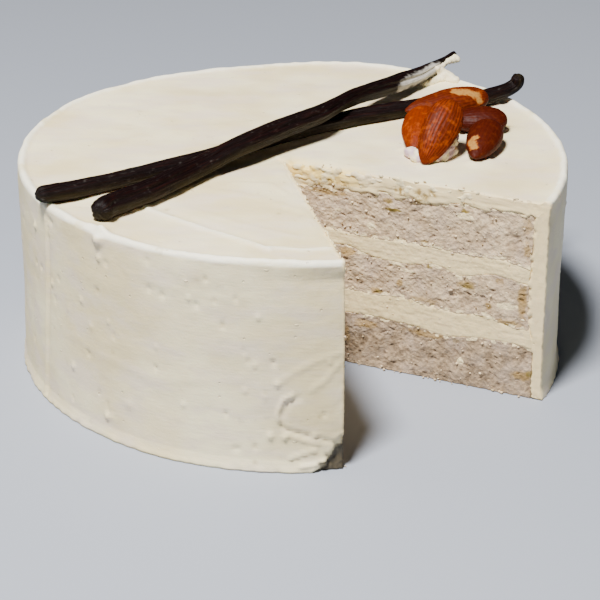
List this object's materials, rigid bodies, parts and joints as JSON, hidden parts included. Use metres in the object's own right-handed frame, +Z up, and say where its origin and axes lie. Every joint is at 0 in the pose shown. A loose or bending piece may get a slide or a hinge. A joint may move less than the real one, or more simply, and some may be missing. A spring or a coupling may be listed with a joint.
{
  "type": "layer cake",
  "caption": "Round iced layer cake with a slice cut out, showing sponge and cream filling, topped with vanilla pods and almonds.",
  "frame": {"origin": "centre of the round, on the underside of the lowest sponge, where the cake rests", "axes": "+Z up through the layers; the missing slice opens towards -Y and +X"},
  "size_m": [0.1823, 0.1832, 0.0879],
  "materials": {
    "icing": "smooth cream, slightly glossy, spread with a palette knife",
    "filling": "soft cream between the sponges, dull at the cut",
    "sponge": "pale open crumb with pores and browned flecks",
    "vanilla_pod": "dark, oily and wrinkled lengthwise",
    "almond_skin": "dry brown skin, ridged lengthwise"
  },
  "bodies": {
    "root": {"sponge_bottom": "sponge", "filling_lower": "filling", "sponge_middle": "sponge", "filling_upper": "filling", "sponge_top": "sponge", "icing": "icing", "vanilla_pod_under": "vanilla_pod", "vanilla_pod_over": "vanilla_pod", "almond_back": "almond_skin", "almond_left": "almond_skin", "almond_front": "almond_skin", "almond_right_upper": "almond_skin", "almond_right_lower": "almond_skin"}
  },
  "joints": []
}
